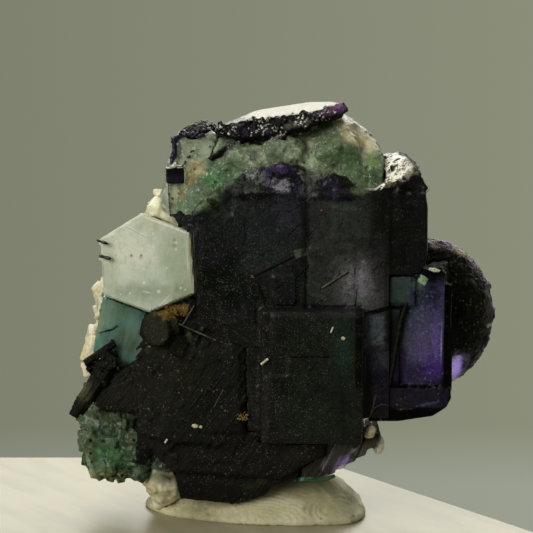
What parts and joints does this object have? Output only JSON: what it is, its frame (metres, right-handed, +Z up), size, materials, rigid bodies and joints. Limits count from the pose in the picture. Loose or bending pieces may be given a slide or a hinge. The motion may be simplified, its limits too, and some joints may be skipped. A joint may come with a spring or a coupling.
{
  "type": "aquamarine and fluorite specimen",
  "caption": "Mineral specimen of near-black, green and purple fluorite cubes grown with aquamarine prisms, black tourmaline and feldspar, standing on a pressed lump of mineral putty.",
  "frame": {"origin": "middle of the specimen's own box, at the flat face of the putty on which it stands", "axes": "+Z up, +X to the right of someone who faces the show side, +Y away from them"},
  "size_m": [0.0478, 0.024, 0.0464],
  "materials": {
    "putty": "dull kneaded putty with fine finger ridges",
    "feldspar": "cream feldspar, waxy on its cleavages",
    "dark_fluorite": "near-black glassy cube faces with fine growth steps and specks",
    "green_fluorite": "broken green fluorite, see-through in thin places",
    "clear_fluorite": "clear pale green fluorite with dark edges",
    "black_crust": "crumbling black crust with bright glints",
    "purple_fluorite": "deep purple fluorite that glows where light comes through",
    "pale_aquamarine": "milky pale aquamarine with a satin end face",
    "teal_aquamarine": "blue-green aquamarine, darker where it is deep",
    "tourmaline": "black tourmaline with fine grooves along each crystal"
  },
  "bodies": {
    "root": {"mineral_putty": "putty", "feldspar_matrix": "feldspar", "feldspar_chip_upper": "feldspar", "feldspar_chip_lower": "feldspar", "fluorite_dark_cubes": "dark_fluorite", "fluorite_green_heart": "green_fluorite", "fluorite_clear": "clear_fluorite", "fluorite_small_cube": "dark_fluorite", "fluorite_dark_cap": "black_crust", "fluorite_black_knob": "black_crust", "fluorite_purple_cubes": "purple_fluorite", "fluorite_drusy_lobe": "dark_fluorite", "fluorite_fan": "purple_fluorite", "fluorite_green_cluster": "green_fluorite", "fluorite_green_wedge": "green_fluorite", "aquamarine_hexagon": "pale_aquamarine", "aquamarine_teal": "teal_aquamarine", "tourmaline_mass": "tourmaline", "tourmaline_sheaf": "tourmaline"}
  },
  "joints": []
}
